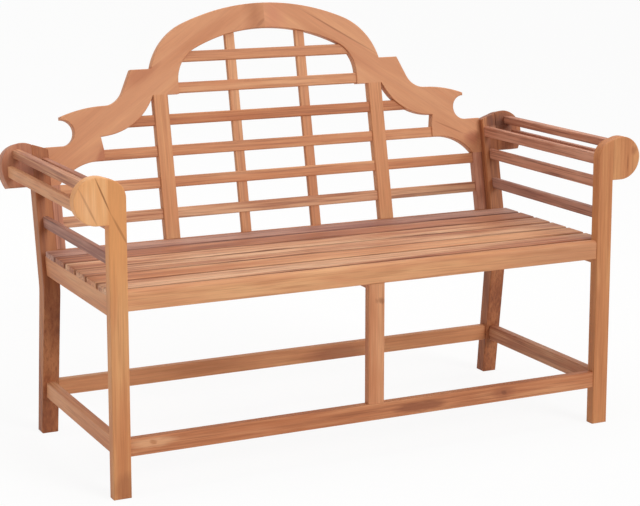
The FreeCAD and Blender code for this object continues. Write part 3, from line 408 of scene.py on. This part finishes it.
# the glue line of the right-hand outer segment
segmentJoint = lineMark(leanPlace(98, 514), leanPlace(296, 396), 2.4, 0.55, "8C5234")
leftCrest = {
    "grain": inTheLean(crestSlope),
    "boards": {
        "crest_left": ("apricot", 111, 0.08, 0.45),
        "crest_segment_left": ("apricot", 117, 0.08, 0.3),
    },
    "marks": {
        "crest_left": [   # reddish at the ledge and the heel, a pale band between, a dusky joint at the crown
            softMark(leanPlace(-318, 384), inTheLean(crestSlope), (60, 40, 26), 0.5, "B06A48"),
            softMark(leanPlace(-429, 200), inTheLean(60), (40, 40, 14), 0.6, "A55C3E"),
            softMark(leanPlace(-360, 322), inTheLean(32), (170, 60, 22), 0.25, "DCA27A"),
            softMark(leanPlace(-160, 462), inTheLean(30), (120, 60, 18), 0.4, "B87550"),
            softMark(leanPlace(-24, 505), upTheLean, (110, 60, 34), 0.75, "AE6F4A", 0.9),
            softMark(leanPlace(-10, 486), inTheLean(40), (20, 30, 4), 0.35, "8A5034"),
        ],
    },
}
rightCrest = {
    "grain": inTheLean(-crestSlope),
    "boards": {
        "crest_right": ("apricot", 114, 0.08, 0.45),
        "crest_segment_right": ("apricot", 119, 0.08, 0.3),
    },
    "marks": {
        "crest_right": [   # rosy at the crown, a reddish band, a line along the wing and its red tip
            softMark(leanPlace(24, 500), upTheLean, (110, 60, 40), 0.6, "C98264", 0.9),
            softMark(leanPlace(180, 425), inTheLean(-crestSlope), (150, 60, 16), 0.3, "B26C48"),
            lineMark(leanPlace(430, 227), leanPlace(522, 186), 2.4, 0.5, "9C5C3C"),
            softMark(leanPlace(538, 178), alongX, (30, 40, 20), 0.55, "A65A42", 0.6),
            segmentJoint,
        ],
        "crest_segment_right": [segmentJoint],
    },
}
dressBoards(leftCrest)
dressBoards(rightCrest)
print("crest dressed")

dowel = {"deep": "A97C52", "pale": "CFA57A", "levels": (0.35, 0.65), "detail": 2.0, "roughness": 0.6,
         "fleck": 1.7}   # millimetres between flecks
screw = {"colour": "B9B9B4", "gloss": (0.25, 0.45), "detail": 2.0,
         "rub": 1.1}   # millimetres between rubs


def dowelWood():
    # Beech, turned: even pale tan with short fine flecks
    material = emptyMaterial("turnedBeech")
    tree = material.node_tree
    place = addNode(tree, "ShaderNodeTexCoord").outputs["Object"]
    flecks = addNode(tree, "ShaderNodeTexNoise", {"Scale": 1000 / dowel["fleck"], "Detail": dowel["detail"]},
                     {"Vector": place})
    wood = addNode(tree, "ShaderNodeValToRGB", links={"Fac": flecks.outputs["Fac"]})
    setRamp(wood, zip(dowel["levels"], (linear(dowel["deep"]), linear(dowel["pale"]))))
    surface = addNode(tree, "ShaderNodeBsdfPrincipled", {"Roughness": dowel["roughness"]},
                      {"Base Color": wood.outputs["Color"]})
    addNode(tree, "ShaderNodeOutputMaterial", links={"Surface": surface.outputs["BSDF"]})
    return material


def screwSteel():
    # Stainless steel, drawn and lightly tumbled: pale grey metal with a soft uneven gloss
    material = emptyMaterial("tumbledStainlessSteel")
    tree = material.node_tree
    place = addNode(tree, "ShaderNodeTexCoord").outputs["Object"]
    rubs = addNode(tree, "ShaderNodeTexNoise", {"Scale": 1000 / screw["rub"], "Detail": screw["detail"]},
                   {"Vector": place})
    gloss = addNode(tree, "ShaderNodeMapRange", {"To Min": screw["gloss"][0], "To Max": screw["gloss"][1]},
                    {"Value": rubs.outputs["Fac"]})
    surface = addNode(tree, "ShaderNodeBsdfPrincipled", {
        "Base Color": linear(screw["colour"]), "Metallic": 1.0}, {"Roughness": gloss.outputs["Result"]})
    addNode(tree, "ShaderNodeOutputMaterial", links={"Surface": surface.outputs["BSDF"]})
    return material


dress("dowel_pins", dowelWood())
dress("slat_screws", screwSteel())
print("fasteners dressed")

# half the floor's side in metres, its grid, its paint, and how much of it the camera sees as pure white
floorPlan = {"half": 40.0, "steps": 24, "colour": "F4F3F1", "roughness": 0.9, "white": "FFFFFF", "glow": 0.9}


def seenDirectly(tree):
    # 1 for rays of the camera and for rays that reach the camera by a mirror or through glass, else 0
    rays = addNode(tree, "ShaderNodeLightPath")
    either = addNode(tree, "ShaderNodeMath", {"operation": "MAXIMUM"},
                     {0: rays.outputs["Is Camera Ray"], 1: rays.outputs["Is Glossy Ray"]})
    return addNode(tree, "ShaderNodeMath", {"operation": "MAXIMUM"},
                   {0: either.outputs["Value"], 1: rays.outputs["Is Transmission Ray"]}).outputs["Value"]


def floorMesh():
    # a level square grid at z = 0: x and y run evenly from -half to half
    count = floorPlan["steps"] + 1
    line = np.linspace(-floorPlan["half"], floorPlan["half"], count)
    x, y = np.meshgrid(line, line, indexing="ij")
    points = np.stack([x, y, np.zeros_like(x)], axis=-1).reshape(-1, 3)
    i, j = np.meshgrid(np.arange(count - 1), np.arange(count - 1), indexing="ij")
    corner = (i * count + j).reshape(-1)
    faces = np.stack([corner, corner + count, corner + count + 1, corner + 1], axis=1)
    mesh = bpy.data.meshes.new("studioFloor")
    mesh.from_pydata(points.tolist(), [], faces.tolist())
    return mesh


def floorPaint():
    # Matt white studio floor: shows the shadow softly, and reads as white to the camera
    material = emptyMaterial("studioFloorPaint")
    tree = material.node_tree
    paint = addNode(tree, "ShaderNodeBsdfDiffuse", {
        "Color": linear(floorPlan["colour"]), "Roughness": floorPlan["roughness"]})
    white = addNode(tree, "ShaderNodeEmission", {"Color": linear(floorPlan["white"]), "Strength": 1.0})
    share = addNode(tree, "ShaderNodeMath", {"operation": "MULTIPLY", 1: floorPlan["glow"]},
                    {0: seenDirectly(tree)})
    mixed = addNode(tree, "ShaderNodeMixShader", links={
        0: share.outputs["Value"], 1: paint.outputs["BSDF"], 2: white.outputs["Emission"]})
    addNode(tree, "ShaderNodeOutputMaterial", links={"Surface": mixed.outputs["Shader"]})
    return material


floor = bpy.data.objects.new("studioFloor", floorMesh())
floor.data.materials.append(floorPaint())
bpy.context.scene.collection.objects.link(floor)

studio = {
    # the world's strength as light on the bench, and as the white that the camera sees
    "ambient": 0.46, "backdrop": 1.0, "colour": "FFFFFF",
    # a broad key from the front right: where it comes from, its spread in degrees and its strength
    "key": {"from": (0.36, -0.84, 0.4), "spread": 28, "strength": 1.25},
    "areaLamps": {   # one above, and a weak one for faces that look to the left
        "topLamp": {"place": (0.3, 0.2, 3.6), "size": 2.6, "power": 52},
        "fillLamp": {"place": (-3.6, 0.3, 1.3), "size": 2.4, "power": 14},
    },
    "aim": (0, 0, 0.4),
}
world = bpy.data.worlds.new("studioWorld")
bpy.context.scene.world = world
world.use_nodes = True
sky = world.node_tree
sky.nodes.clear()
strength = addNode(sky, "ShaderNodeMapRange", {"To Min": studio["ambient"], "To Max": studio["backdrop"]},
                   {"Value": seenDirectly(sky)})
glow = addNode(sky, "ShaderNodeBackground", {"Color": linear(studio["colour"])},
               {"Strength": strength.outputs["Result"]})
addNode(sky, "ShaderNodeOutputWorld", links={"Surface": glow.outputs["Background"]})


def addLamp(name, kind, place, aim):
    lamp = bpy.data.objects.new(name, bpy.data.lights.new(name, kind))
    lamp.location = place
    lamp.rotation_euler = (Vector(aim) - Vector(place)).to_track_quat("-Z", "Y").to_euler()
    bpy.context.scene.collection.objects.link(lamp)
    return lamp.data


key = addLamp("keyLamp", "SUN", studio["key"]["from"], (0, 0, 0))
key.angle = math.radians(studio["key"]["spread"])
key.energy = studio["key"]["strength"]
for name, plan in studio["areaLamps"].items():
    lamp = addLamp(name, "AREA", plan["place"], studio["aim"])
    lamp.size = plan["size"]
    lamp.energy = plan["power"]
print("studio lit")

# The photograph keeps uprights almost parallel, so the frame is shifted a little below the lens axis
viewpoint = {"place": (-1.7203, -3.5573, 1.2478), "yaw": 25.957, "pitch": 9.879, "lens": 99.607,
             "sensor": 36.0, "shift": -0.11}
camera = bpy.data.objects.new("viewCamera", bpy.data.cameras.new("viewCamera"))
camera.data.sensor_width = viewpoint["sensor"]
camera.data.lens = viewpoint["lens"]
camera.data.shift_y = viewpoint["shift"]
camera.location = viewpoint["place"]
camera.rotation_euler = (math.radians(90 - viewpoint["pitch"]), 0, math.radians(-viewpoint["yaw"]))
bpy.context.scene.collection.objects.link(camera)
bpy.context.scene.camera = camera
bpy.context.scene.view_settings.view_transform = "Standard"
print("camera placed")
